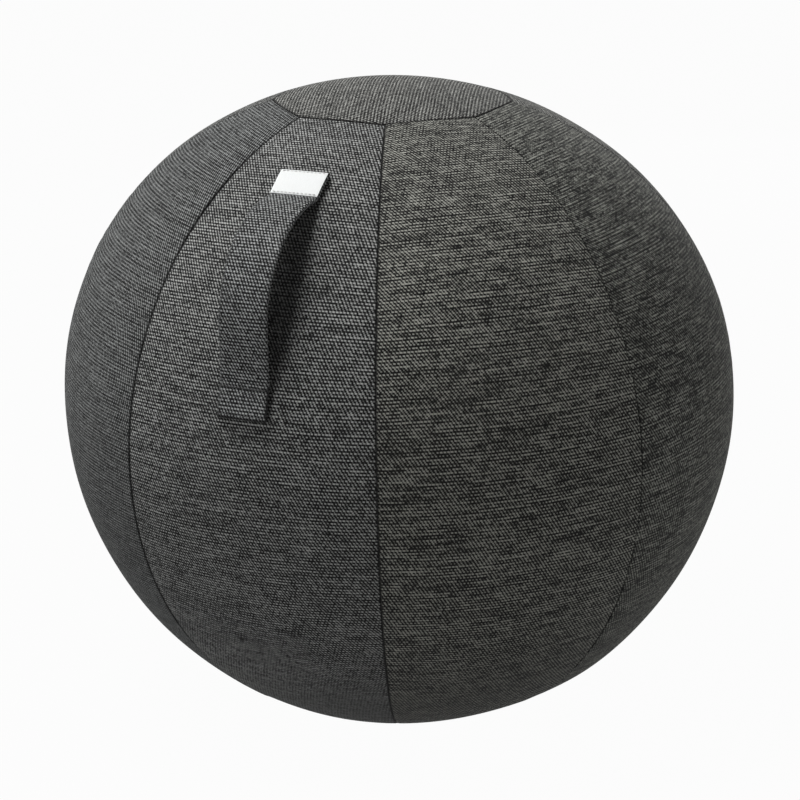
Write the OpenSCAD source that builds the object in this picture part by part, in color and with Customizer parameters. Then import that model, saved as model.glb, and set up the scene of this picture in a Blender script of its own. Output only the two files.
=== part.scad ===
// Sitting ball: an inflated bladder in a sewn cloth cover with a carrying handle.
// Millimetres. Z is up, the floor is z = 0, and the panel with the handle faces -Y.
// All heights inside the modules are counted from the middle of the ball.

/* [Ball] */
// Width of the covered ball
ball_d = 650; // [600:10:700]
// How far the middle of the upper arc is set out, which flattens the top
side_set = 17; // [12:1:22]
// How far the underside is pressed flat
base_drop = 22; // [20:1:26]
// Extra radius of each panel's crown, which leaves the seams proud
panel_flat = 25; // [10:1:40]
// Thickness of the cover cloth
cloth = 1.6; // [1.2:0.1:2.0]
// Gap drawn between two sewn edges
seam_gap = 0.3; // [0.2:0.1:0.6]
// Distance from the middle to a side of the top panel
top_panel_reach = 109.5; // [95:0.5:125]
// Radius of the bulged sides of the top panel
top_side_r = 228; // [180:2:300]
// Radius of the round base panel
base_panel_r = 130; // [126:1:136]
// Radius of the rolled edge of the base
base_edge_r = 30; // [20:1:40]

/* [Handle] */
// Width of the handle strap
strap_w = 48; // [40:1:56]
// Thickness of the handle strap
strap_t = 5.4; // [5.0:0.1:7.0]
// Radius of the handle's loop
loop_r = 98; // [92:1:104]
// Sideways set of the handle on its panel
handle_x = 4; // [0:0.5:8]
// Width of the label
label_w = 47; // [36:1:50]
// Height of the label
label_h = 28; // [20:1:32]

/* [Zip] */
// Where the zip ends above the middle of the ball, in degrees
zip_top = 12; // [6:1:14]
// Where the zip ends below the middle of the ball, in degrees
zip_low = -56; // [-58:1:-45]
// Half width of the slot that shows the zip
zip_slot = 5.5; // [5.2:0.1:7]
// Length of the zip pull
pull_len = 24; // [18:1:30]

/* [Inside] */
// Thickness of the bladder wall
bladder_t = 1.3; // [1.0:0.1:2.0]
// Width of the flat stand ring
stand_ring_w = 25; // [18:1:28]
// Thickness of the flat stand ring
stand_ring_t = 2.5; // [1.5:0.1:3.0]
// Width of the tape that binds a seam
binding_w = 24; // [18:1:28]

/* [Hidden] */
$fn = 96;
seat = 0.3;
ball_r = ball_d / 2;
base_h = ball_r - base_drop;
panel_r = ball_r + panel_flat;
half_panel = 22.5;
panel_turn = 45;
far = 2 * ball_r;

// The outline is three arcs that run into each other: low, side and crown.
// The panels follow the first two, the top panel the third.
low_x = 4;
low_r = ball_r - low_x;
side_x = side_set;
side_r = ball_r - side_x;
crown_turn = acos((top_panel_reach - side_x) / side_r);
crown_r = top_panel_reach / cos(crown_turn);
crown_z = (side_r - crown_r) * sin(crown_turn);
panel_low_end = -70;
panel_top_end = 78;
top_cut_z = ball_r / 3;
edge_out = 0.05;
edge_lap = 6;
function flat_reach(depth, lift, edge) =
    low_x + sqrt(pow(low_r - depth - edge, 2) - pow(base_h - lift - edge, 2));

// Corner of the bulged octagon, grown or shrunk sideways
function top_corner(grow) =
    let (back = top_side_r - top_panel_reach)
    sqrt(pow(top_side_r + grow, 2) - pow(back * sin(half_panel), 2)) - back * cos(half_panel);

// Layers inside the cover, as depths below its outer face
binding_t = 1.5;
binding_in = cloth + seat;
binding_out = binding_in + binding_t;
bladder_in = binding_out + seat;
pocket_t = 0.8;
pocket_hem = 10;
pocket_slope = 0.4;
ring_lift = cloth + seat;
pocket_lift = ring_lift + stand_ring_t + seat;
bladder_lift = pocket_lift + pocket_t + seat;
ring_out_r = flat_reach(0, 0, base_edge_r) - 0.7;
ring_in_r = ring_out_r - stand_ring_w;

// Handle: seated on the cover, then a round loop, then a straight run back to the cover
strap_seat_r = side_r + seat + strap_t / 2;
side_c = [side_x, 0];
loop_set = 112;
loop_c = [ball_r - loop_set, 0.448 * ball_r];
loop_reach = loop_c[0] + loop_r;
seat_to_loop = norm(loop_c - side_c);
seat_turn = acos((seat_to_loop * seat_to_loop + strap_seat_r * strap_seat_r - loop_r * loop_r)
    / (2 * seat_to_loop * strap_seat_r));
strap_lands = atan2(loop_c[1], loop_c[0] - side_x) + seat_turn;
strap_leaves = acos((loop_reach - side_x) / strap_seat_r);
leave_z = strap_seat_r * sin(strap_leaves);
land = side_c + strap_seat_r * [cos(strap_lands), sin(strap_lands)];
loop_end = atan2(land[1] - loop_c[1], land[0] - loop_c[0]) + 7;
run_over = 20;
patch_turn = 6;
label_turn = label_h / strap_seat_r * 180 / PI;
strap_low_end = strap_leaves - patch_turn;
strap_top_end = strap_lands + label_turn + 0.5;
core_t = 2.6;
core_w = strap_w - 6;
core_room = 0.2;
label_t = 0.7;
label_seat = 0.2;
thread_r = 0.35;
stitch_len = 2.6;
stitch_step = 4;
stitch_inset = 4;
thread_seat = 0.05;
patch_over = 3;

// Zip, which follows the seam line in the seam's own plane
zip_turn = 202.5;
zip_cut = 30;
function sag(t) = panel_r - sqrt(panel_r * panel_r - t * t);
function seam_out(a, n, k) = k == 0 ? n
    : seam_out(a, low_x + (low_r - sag(n * tan(half_panel))) * cos(a), k - 1);
function seam_n(a) = seam_out(a, low_x + low_r * cos(a), 9);
function seam_rho(a) = seam_n(a) / cos(half_panel);
function seam_z(a) = (low_r - sag(seam_n(a) * tan(half_panel))) * sin(a);
zip_end_rho = seam_rho(zip_low);
zip_end_z = seam_z(zip_low);
zip_reach = seam_rho(0);
zip_x = (zip_reach * zip_reach - zip_end_rho * zip_end_rho - zip_end_z * zip_end_z)
    / (2 * (zip_reach - zip_end_rho));
zip_r = zip_reach - zip_x;
deg_per_mm = 180 / (PI * zip_r);
stop_len = 2.5;
slider_len = 14;
slider_w = zip_slot - 0.9;
plate_t = 1.3;
under_plate_t = 0.85;
plate_room = 0.4;
under_room = 0.25;
web_room = 0.25;
coil_t = 2;
coil_in = 0.6;
coil_out = 3.2;
coil_deep = binding_in + coil_t / 2;
coil_high = binding_in - coil_t / 2;
tape_in = coil_out + 0.1;
tape_out = 17;
tape_t = 0.6;
stop_over = 0.3;
stop_room = 0.06;
coil_top = zip_top - 1;
coil_low = zip_low + 0.8;
slider_top = coil_top - 0.1;
slider_low = slider_top - slider_len * deg_per_mm;
slider_face = plate_t + plate_room - coil_high;
flank_w = 1;
flank_drop = 1.1;
pin_r = 0.7;
pin_room = 0.06;
eye_r = 1.7;
eye_room = 0.4;
pin_at = (slider_top + slider_low) / 2;
pin_up = slider_face + eye_room + eye_r;
lug_w = 1;
lug_turn = 0.35;
lug_over = 1.2;
pull_w = 5;
pull_t = 1.2;
pull_hole_r = 1.3;
lug_in = pull_w / 2 + eye_room;

// Valve, on the rear panel beside the zip
valve_turn = 180;
valve_dip = -40;
valve_hole_r = 4.7;
valve_boss_r = 12;
valve_boss_len = 14;
plug_room = 0.05;
plug_head_r = 10;
plug_head_t = 1.4;

// Turns a shape drawn outwards and upwards so that outwards is -Y, its depth along X
module stand_up() {
    rotate([90, 0, -90]) children();
}

module at_height() {
    translate([0, 0, base_h]) children();
}

// Plane outlines

module bow(c, r, a1, a2, t) {
    intersection() {
        translate(c) difference() {
            circle(r + t / 2);
            circle(r - t / 2);
        }
        translate(c) polygon([[0, 0],
            2 * (r + t) * [cos(a1), sin(a1)],
            2 * (r + t) * [cos((a1 + a2) / 2), sin((a1 + a2) / 2)],
            2 * (r + t) * [cos(a2), sin(a2)]]);
    }
}

// Lower part of the ball's outline, cut off flat with a rolled edge.
// The edge is set out a hair, so that its arc crosses the ball's instead of only touching it.
module low_outline(depth, lift, edge) {
    floor_z = -(base_h - lift);
    edge_z = floor_z + edge;
    edge_x = flat_reach(depth, lift, edge) + edge_out;
    lean = atan2(edge_z, edge_x - low_x);
    out_tip = [edge_x, edge_z] + 2 * edge * [cos(lean), sin(lean)];
    side_tip = [edge_x, edge_z] + 2 * edge * [cos(lean + edge_lap), sin(lean + edge_lap)];
    down_tip = [edge_x, edge_z - 2 * edge];
    difference() {
        intersection() {
            translate([low_x, 0]) circle(low_r - depth);
            translate([0, floor_z]) square([far, -floor_z]);
        }
        polygon([[edge_x, edge_z], out_tip, down_tip]);
    }
    intersection() {
        translate([edge_x, edge_z]) circle(edge);
        polygon([[edge_x, edge_z], side_tip, down_tip]);
    }
}

// Upper part: the side arc, flat across the very top
module high_outline(depth) {
    intersection() {
        translate([side_x, 0]) circle(side_r - depth);
        translate([side_x, 0]) square(far);
    }
    square([side_x, side_r - depth]);
}

// Layers of the cover

module panel_section(radius, outer, inner) {
    intersection() {
        translate([radius - panel_r, 0]) difference() {
            circle(panel_r - outer);
            circle(panel_r - inner);
        }
        translate([0, -0.45 * ball_r]) square([radius + 1, 0.9 * ball_r]);
    }
}

module panel_arc(x, radius, from, to, outer, inner) {
    translate([0, -x, 0]) stand_up()
        rotate_extrude(start = from, angle = to - from) panel_section(radius, outer, inner);
}

module wedge(gap) {
    tip = -gap / 2 / sin(half_panel);
    reach = far - tip;
    translate([0, 0, -far]) linear_extrude(2 * far)
        polygon([[0, tip], [-reach * tan(half_panel), tip - reach], [reach * tan(half_panel), tip - reach]]);
}

// One panel's layer between two depths, from the base seam to the top seam
module panel_layer(outer, inner, gap) {
    intersection() {
        union() {
            panel_arc(low_x, low_r, panel_low_end, 0, outer, inner);
            panel_arc(side_x, side_r, 0, panel_top_end, outer, inner);
        }
        wedge(gap);
    }
}

// Upright block in the shape of the top panel, grown or shrunk sideways
module top_panel_block(grow) {
    intersection_for (k = [0:7])
        rotate(k * panel_turn) translate([0, top_side_r - top_panel_reach, top_cut_z])
            cylinder(h = ball_r, r = top_side_r + grow);
}

module base_block(radius) {
    translate([0, 0, -ball_r]) cylinder(h = ball_r / 2, r = radius);
}

module side_panel(n) {
    at_height() difference() {
        rotate((n - 1) * panel_turn) panel_layer(0, cloth, seam_gap);
        rotate((n - 1) * panel_turn) translate([0, top_side_r - top_panel_reach, top_cut_z])
            cylinder(h = ball_r, r = top_side_r + seam_gap / 2);
        base_block(base_panel_r + seam_gap / 2);
        if (n == 5 || n == 6) zip_window(zip_slot);
    }
}

module side_panel_1() { color("dimgray") side_panel(1); }
module side_panel_2() { color("dimgray") side_panel(2); }
module side_panel_3() { color("dimgray") side_panel(3); }
module side_panel_4() { color("dimgray") side_panel(4); }
module side_panel_5() { color("dimgray") side_panel(5); }
module side_panel_6() { color("dimgray") side_panel(6); }
module side_panel_7() { color("dimgray") side_panel(7); }
module side_panel_8() { color("dimgray") side_panel(8); }

module top_panel() {
    color("gray") at_height() intersection() {
        translate([0, 0, crown_z]) difference() {
            sphere(crown_r);
            sphere(crown_r - cloth);
        }
        top_panel_block(-seam_gap / 2);
    }
}

module base_panel() {
    color("#2b2b2d") at_height() rotate_extrude() intersection() {
        difference() {
            low_outline(0, 0, base_edge_r);
            low_outline(cloth, cloth, base_edge_r - cloth);
        }
        translate([0, -ball_r]) square([base_panel_r - seam_gap / 2, ball_r / 2]);
    }
}

// Tapes that bind the seams inside the cover

// Each turned-in edge of a side panel has its own strip of tape
module seam_bindings() {
    color("silver") at_height() for (k = [0:7])
        difference() {
            rotate(k * panel_turn) panel_layer(binding_in, binding_out, seam_gap);
            rotate(k * panel_turn) wedge(binding_w);
            translate([0, 0, top_cut_z]) cylinder(h = ball_r, r = top_corner(binding_w / 2) + 1);
            base_block(base_panel_r + binding_w / 2 + 1);
            if (k == 4 || k == 5) zip_window(binding_w);
        }
}

module top_binding() {
    color("silver") at_height() difference() {
        intersection() {
            translate([0, 0, crown_z]) difference() {
                sphere(crown_r - binding_in);
                sphere(crown_r - binding_out);
            }
            top_panel_block(binding_w / 2);
        }
        top_panel_block(-binding_w / 2);
    }
}

module base_binding() {
    color("silver") at_height() rotate_extrude() intersection() {
        difference() {
            low_outline(binding_in, binding_in, base_edge_r - binding_in);
            low_outline(binding_out, binding_out, base_edge_r - binding_out);
        }
        translate([base_panel_r - binding_w / 2, -ball_r]) square([binding_w, ball_r / 2]);
    }
}

// Handle and label

// Route of the strap, of the given thickness, between two angles on the cover
module strap_route(t, from, to) {
    bow(side_c, strap_seat_r, from, strap_leaves, t);
    bow(side_c, strap_seat_r, strap_lands, to, t);
    difference() {
        union() {
            bow(loop_c, loop_r, 0, loop_end, t);
            translate([loop_reach - t / 2, leave_z - run_over])
                square([t, loop_c[1] - leave_z + run_over]);
        }
        translate(side_c) circle(strap_seat_r - t / 2);
    }
}

module across_handle(w) {
    at_height() translate([handle_x, 0, 0]) stand_up() linear_extrude(w, center = true) children();
}

module handle_strap() {
    color("dimgray") difference() {
        across_handle(strap_w) strap_route(strap_t, strap_low_end, strap_top_end);
        across_handle(core_w + 2 * core_room)
            strap_route(core_t + 2 * core_room, strap_low_end + 0.5, strap_top_end - 0.3);
    }
}

module handle_core() {
    color("black") across_handle(core_w)
        strap_route(core_t, strap_low_end + 0.6, strap_top_end - 0.4);
}

module label_tab() {
    color("white") across_handle(label_w)
        bow(side_c, strap_seat_r + strap_t / 2 + label_seat + label_t / 2,
            strap_top_end - 0.3 - label_turn, strap_top_end - 0.3, label_t);
}

// One row of stitches across the strap, lying on a face of the given radius
module stitch_row(angle, radius, width) {
    count = floor((width - stitch_len) / stitch_step);
    reach = radius + thread_r + thread_seat;
    for (k = [0:count])
        at_height() translate([handle_x + (k - count / 2) * stitch_step,
            -side_x - reach * cos(angle), reach * sin(angle)])
            rotate([0, 90, 0]) cylinder(h = stitch_len, r = thread_r, center = true, $fn = 24);
}

module handle_stitching() {
    color("black") {
        stitch_row(strap_low_end + 0.7, strap_seat_r + strap_t / 2, strap_w - stitch_inset);
        stitch_row(strap_leaves - 0.9, strap_seat_r + strap_t / 2, strap_w - stitch_inset);
    }
}

module label_stitching() {
    color("whitesmoke") {
        label_face = strap_seat_r + strap_t / 2 + label_seat + label_t;
        stitch_row(strap_top_end - 0.6, label_face, label_w - stitch_inset);
        stitch_row(strap_top_end - label_turn, label_face, label_w - stitch_inset);
    }
}

// Patch inside the cover behind a sewn end of the handle
module backing(from, to) {
    color("black") at_height() intersection() {
        panel_arc(side_x, side_r, from, to, binding_in, binding_out);
        translate([handle_x - strap_w / 2 - patch_over, -far, -far])
            cube([strap_w + 2 * patch_over, far, 2 * far]);
    }
}

module upper_handle_backing() {
    backing(strap_lands - 1, strap_top_end + 0.4);
}

module lower_handle_backing() {
    backing(strap_low_end - 1, strap_leaves + 1);
}

// Zip in the rear seam

// A bar bent along the zip: distance out from the seam line, sideways span, angles
module zip_bar(low, high, side_from, side_to, from, to) {
    translate([0, -zip_x, 0]) stand_up() rotate_extrude(start = from, angle = to - from)
        translate([zip_r + low, side_from]) square([high - low, side_to - side_from]);
}

module in_zip_seam() {
    at_height() rotate(zip_turn) children();
}

// The cut-out over the zip, used on the two panels beside it
module zip_window(half_width) {
    rotate(zip_turn) zip_bar(-zip_cut, zip_cut, -half_width, half_width, zip_low - 0.2, zip_top + 0.2);
}

module zip_tape(side) {
    in_zip_seam() intersection() {
        rotate(side * half_panel) panel_layer(binding_in, binding_in + tape_t, 0);
        zip_bar(-zip_cut, zip_cut, side > 0 ? -tape_out : tape_in, side > 0 ? -tape_in : tape_out,
            zip_low, zip_top);
    }
}

// stand_up() turns the profile's sideways direction to -X, so a tape at +X has negative sides
module zip_tape_left() { color("black") zip_tape(-1); }
module zip_tape_right() { color("black") zip_tape(1); }

module zip_coil_left() {
    color("#151515") in_zip_seam()
        zip_bar(-coil_deep, -coil_high, coil_in, coil_out, coil_low, coil_top);
}

module zip_coil_right() {
    color("#151515") in_zip_seam()
        zip_bar(-coil_deep, -coil_high, -coil_out, -coil_in, coil_low, coil_top);
}

module zip_stops() {
    color("gray") in_zip_seam() {
        stop_turn = stop_len * deg_per_mm;
        for (end = [[coil_top + stop_room, coil_top + stop_turn],
            [coil_low - stop_turn, coil_low - stop_room]])
            zip_bar(-coil_deep - stop_over, -coil_high + stop_over, -coil_out, coil_out, end[0], end[1]);
    }
}

// Middle of the pin, out and up in the plane of the seam
pin_c = [zip_x + (zip_r + pin_up) * cos(pin_at), (zip_r + pin_up) * sin(pin_at)];

module zip_slider() {
    flank_face = slider_face - plate_t;
    under_face = -coil_deep - under_room;
    web = coil_in - web_room;
    color("#3a3a3d") in_zip_seam() {
        zip_bar(flank_face, slider_face, -slider_w, slider_w, slider_low, slider_top);
        zip_bar(under_face - under_plate_t, under_face, -slider_w, slider_w, slider_low, slider_top);
        zip_bar(under_face - 0.1, flank_face + 0.1, -web, web, slider_low + 0.3, slider_top - 0.3);
        for (s = [-1, 1]) {
            flank = s * (slider_w - flank_w / 2);
            lug = s * (lug_in + lug_w / 2);
            zip_bar(flank_face - flank_drop, flank_face + 0.1, flank - flank_w / 2,
                flank + flank_w / 2, slider_low, slider_top);
            zip_bar(slider_face - 0.1, pin_up + lug_over, lug - lug_w / 2, lug + lug_w / 2,
                pin_at - lug_turn, pin_at + lug_turn);
        }
        stand_up() translate([pin_c[0], pin_c[1], 0])
            cylinder(h = 2 * lug_in + lug_w - 0.2, r = pin_r, center = true, $fn = 32);
    }
}

// Eye round the pin, then a plate that hangs down along the closed coil
module zip_pull() {
    color("#3a3a3d") in_zip_seam() stand_up() translate([pin_c[0], pin_c[1], 0])
        rotate(pin_at) difference() {
            union() {
                cylinder(h = pull_w, r = eye_r, center = true, $fn = 32);
                translate([-pull_t / 2, -pull_len + pull_w / 2, -pull_w / 2])
                    cube([pull_t, pull_len - pull_w / 2, pull_w]);
                translate([0, -pull_len + pull_w / 2, 0]) rotate([0, 90, 0])
                    cylinder(h = pull_t, r = pull_w / 2, center = true, $fn = 48);
            }
            cylinder(h = pull_w + 1, r = pin_r + pin_room, center = true, $fn = 32);
            translate([0, -pull_len + pull_w / 2, 0]) rotate([0, 90, 0])
                cylinder(h = pull_t + 1, r = pull_hole_r, center = true, $fn = 32);
        }
}

// Bladder, valve and base

module bladder_body(t) {
    rotate_extrude() {
        low_outline(bladder_in + t, bladder_lift + t, base_edge_r - t);
        high_outline(bladder_in + t);
    }
}

module at_valve() {
    at_height() rotate(valve_turn) translate([0, -low_x, 0]) stand_up() rotate(valve_dip)
        translate([low_r - bladder_in, 0, 0]) rotate([0, 90, 0]) children();
}

module bladder() {
    color("steelblue") difference() {
        union() {
            at_height() difference() {
                bladder_body(0);
                bladder_body(bladder_t);
            }
            at_valve() translate([0, 0, -valve_boss_len])
                cylinder(h = valve_boss_len - 0.5, r = valve_boss_r);
        }
        at_valve() translate([0, 0, -valve_boss_len - 1])
            cylinder(h = valve_boss_len + 2, r = valve_hole_r);
    }
}

module valve_plug() {
    color("white") at_valve() {
        translate([0, 0, plug_room]) cylinder(h = plug_head_t, r = plug_head_r);
        translate([0, 0, -valve_boss_len + 1]) cylinder(h = valve_boss_len, r = valve_hole_r - plug_room);
    }
}

module stand_ring() {
    color("#404040") at_height() rotate_extrude()
        translate([0, -base_h + ring_lift]) {
            translate([ring_in_r + stand_ring_t / 2, 0])
                square([stand_ring_w - stand_ring_t, stand_ring_t]);
            translate([ring_in_r + stand_ring_t / 2, stand_ring_t / 2]) circle(stand_ring_t / 2);
            translate([ring_out_r - stand_ring_t / 2, stand_ring_t / 2]) circle(stand_ring_t / 2);
        }
}

// Strip of lining sewn down inside and outside the ring
module ring_pocket() {
    top = -base_h + pocket_lift + pocket_t;
    low = -base_h + ring_lift;
    color("#202020") at_height() rotate_extrude() {
        translate([ring_in_r - seat - pocket_t, top - pocket_t])
            square([stand_ring_w + 2 * (seat + pocket_t), pocket_t]);
        translate([ring_in_r - seat - pocket_t, low]) square([pocket_t, top - low]);
        translate([ring_in_r - seat - pocket_hem, low]) square([pocket_hem, pocket_t]);
        translate([ring_out_r + seat, low + pocket_slope])
            square([pocket_t, top - low - pocket_slope]);
    }
}

side_panel_1();
side_panel_2();
side_panel_3();
side_panel_4();
side_panel_5();
side_panel_6();
side_panel_7();
side_panel_8();
top_panel();
base_panel();
seam_bindings();
top_binding();
base_binding();
handle_strap();
handle_core();
handle_stitching();
upper_handle_backing();
lower_handle_backing();
label_tab();
label_stitching();
zip_tape_left();
zip_tape_right();
zip_coil_left();
zip_coil_right();
zip_stops();
zip_slider();
zip_pull();
bladder();
valve_plug();
stand_ring();
ring_pocket();
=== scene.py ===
import math

import bmesh
import bpy
import numpy as np
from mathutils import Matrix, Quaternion, Vector


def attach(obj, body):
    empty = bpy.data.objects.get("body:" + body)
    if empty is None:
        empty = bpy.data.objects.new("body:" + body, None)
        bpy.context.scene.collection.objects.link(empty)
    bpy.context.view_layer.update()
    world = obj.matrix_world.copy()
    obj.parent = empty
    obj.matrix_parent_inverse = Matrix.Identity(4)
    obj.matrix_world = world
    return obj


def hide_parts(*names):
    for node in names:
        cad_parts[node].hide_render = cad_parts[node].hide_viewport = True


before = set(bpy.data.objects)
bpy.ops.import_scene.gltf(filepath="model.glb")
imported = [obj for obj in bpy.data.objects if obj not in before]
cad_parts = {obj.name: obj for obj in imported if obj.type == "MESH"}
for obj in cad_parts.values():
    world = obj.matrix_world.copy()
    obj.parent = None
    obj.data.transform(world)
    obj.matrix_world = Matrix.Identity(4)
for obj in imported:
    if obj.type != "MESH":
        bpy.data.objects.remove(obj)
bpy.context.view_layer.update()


# Side panels: eight gores of one heavy woven cloth, charcoal with light threads, sewn edge
# to edge over the filled bladder. Each edge is turned in, which leaves a groove at the seam.
# Panels 5 and 6 stop short of the zip, which is sewn in between them.

ball_middle = 0.303
low_arc, high_arc = (0.004, 0.321), (0.017, 0.308)
mean_r = 0.31
crown_across = 0.350
cloth = 0.0016
seam_half_turn = math.radians(22.5)
seam_gap = 0.0003
fold_r = 0.0013
base_seam_r = 0.130
top_side_r, top_side_back = 0.228, 0.1185
zip_out, zip_slot, zip_ends = 0.0070005, 0.0055, (-56.2, 12.2)
photo_turn, photo_rise = math.radians(26.28), math.radians(17.62)


def arcs(angle):
    """Centre out from the axis and radius of the arc that the outline follows there."""
    low = angle < 0
    return np.where(low, low_arc[0], high_arc[0]), np.where(low, low_arc[1], high_arc[1])


def turned(turn, out, side, up):
    """Points that lie out, sideways and up on the panel at that turn round the ball."""
    return np.stack([
        math.sin(turn) * out + math.cos(turn) * side,
        -math.cos(turn) * out + math.sin(turn) * side,
        ball_middle + up], axis=-1)


# Each lobe: its clock angle in the photograph, how far it stands out and how wide it is.
lobes = ((308, 0.0045, 24), (30, -0.0036, 22), (146, 0.0025, 12), (213, -0.0012, 22))
base_below, base_fade = -0.298, 0.05


def filled(points):
    """Moves the skin as its air does: fuller at the upper left, slacker at the upper right."""
    right = np.array([math.cos(photo_turn), math.sin(photo_turn), 0])
    up = np.array([-math.sin(photo_rise) * math.sin(photo_turn),
                   math.sin(photo_rise) * math.cos(photo_turn), math.cos(photo_rise)])
    spoke = points - np.array([0, 0, ball_middle])
    ray = spoke / np.maximum(np.linalg.norm(spoke, axis=-1, keepdims=True), 1e-9)
    push = 0
    for clock, much, wide in lobes:
        lobe = right * math.sin(math.radians(clock)) + up * math.cos(math.radians(clock))
        away = np.degrees(np.arccos(np.clip(ray @ lobe, -1, 1)))
        push = push + much * np.exp(-(away / wide) ** 2 / 2)
    keep = np.clip((spoke[..., 2] - base_below) / base_fade, 0, 1)
    return points + ray * (push * keep)[..., None]


def on_panel(turn, angle, side, deep=0.0):
    """Points of a panel at an angle above the middle, a distance sideways and a depth inside."""
    out, radius = arcs(angle)
    lean = np.arcsin(side / crown_across)
    reach = radius - crown_across + (crown_across - deep) * np.cos(lean)
    return filled(turned(turn, out + reach * np.cos(angle), side - deep * np.sin(lean),
                         reach * np.sin(angle)))


def panel_out(angle, side):
    """How far a point of a panel's face lies out from the ball's axis."""
    out, radius = arcs(angle)
    return out + (radius - crown_across + np.sqrt(crown_across ** 2 - side ** 2)) * np.cos(angle)


def seam_side(angle, apart):
    """How far a panel reaches sideways when its edge stays that far from the seam's middle."""
    side = np.full(np.shape(angle), 0.08)
    for _ in range(14):
        side = panel_out(angle, side) * math.tan(seam_half_turn) - apart / math.cos(seam_half_turn)
    return side


def beside_zip(angle):
    """1 where a panel's edge stands back from the zip, 0 past the zip's ends."""
    ease = 0.4
    side = seam_side(angle, 0)
    radius = arcs(angle)[1]
    rho = panel_out(angle, side) / math.cos(seam_half_turn)
    up = (radius - crown_across + np.sqrt(crown_across ** 2 - side ** 2)) * np.sin(angle)
    at = np.degrees(np.arctan2(up, rho - zip_out))
    share = (np.clip((zip_ends[1] + ease - at) / (2 * ease), 0, 1)
             * np.clip((at - zip_ends[0] + ease) / (2 * ease), 0, 1))
    return share * share * (3 - 2 * share)


def where(inside, low, high):
    """Halves the span of angles until it finds where a line of the cut meets the seam across it."""
    for _ in range(36):
        middle = (low + high) / 2
        hit = inside(middle)
        low, high = np.where(hit, middle, low), np.where(hit, high, middle)
    return (low + high) / 2


def spaced(insets, count):
    """Shares and insets of the lines of a grid that crowd towards both edges."""
    inner = np.linspace(-1, 1, count + 2)[1:-1]
    outer = np.ones(len(insets))
    sign = np.concatenate([-outer, np.sign(inner) + (inner == 0), outer])
    share = np.concatenate([outer, np.abs(inner), outer])
    inset = np.concatenate([insets, np.full(count, insets[-1]), insets[::-1]])
    return sign, share, inset


def folded(from_edge):
    """How deep the cloth's face lies where a panel's edge is turned in."""
    rolled = np.clip(fold_r - from_edge, 0, fold_r)
    return fold_r - np.sqrt(fold_r ** 2 - rolled ** 2)


def squares(index):
    """Four-sided faces between the rows and columns of a grid of point numbers."""
    corners = [index[:-1, :-1], index[:-1, 1:], index[1:, 1:], index[1:, :-1]]
    return np.stack(corners, -1).reshape(-1, 4)


def shell(name, face, back, cut, wraps=False, start=False, end=False):
    """A closed piece between two grids of points; start and end close the first and last line."""
    rows, columns = face.shape[:2]
    count = rows * columns
    index = np.arange(count).reshape(rows, columns)
    if wraps:
        index = np.concatenate([index, index[:, :1]], axis=1)
    quads = squares(index)
    rims = []
    if not start:
        rims.append(index[0])
    if not end:
        rims.append(index[-1])
    if not wraps:
        rims += [index[:, 0], index[:, -1]]
    faces = [*quads.tolist(), *(quads[:, ::-1] + count).tolist()]
    for rim in rims:
        faces += np.stack([rim[:-1], rim[1:], rim[1:] + count, rim[:-1] + count], -1).tolist()
    for line, closed in ((0, start), (-1, end)):
        if closed:
            faces += [index[line, :-1].tolist(), (index[line, :-1] + count).tolist()]
    points = np.concatenate([face.reshape(-1, 3), back.reshape(-1, 3)])
    cuts = np.concatenate([cut.reshape(-1, 3)] * 2)
    return piece(name, points.tolist(), faces, cuts)


def piece(name, points, faces, cuts):
    """A smooth mesh whose points keep their place on the flat cut: across, along, from the edge."""
    mesh = bpy.data.meshes.new(name)
    mesh.from_pydata(points, [], faces)
    work = bmesh.new()
    work.from_mesh(mesh)
    bmesh.ops.recalc_face_normals(work, faces=work.faces)
    work.to_mesh(mesh)
    work.free()
    mesh.attributes.new("cut", "FLOAT_VECTOR", "POINT").data.foreach_set(
        "vector", np.asarray(cuts, np.float32).ravel())
    mesh.polygons.foreach_set("use_smooth", [True] * len(mesh.polygons))
    thing = bpy.data.objects.new(name, mesh)
    bpy.context.scene.collection.objects.link(thing)
    return thing


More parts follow.
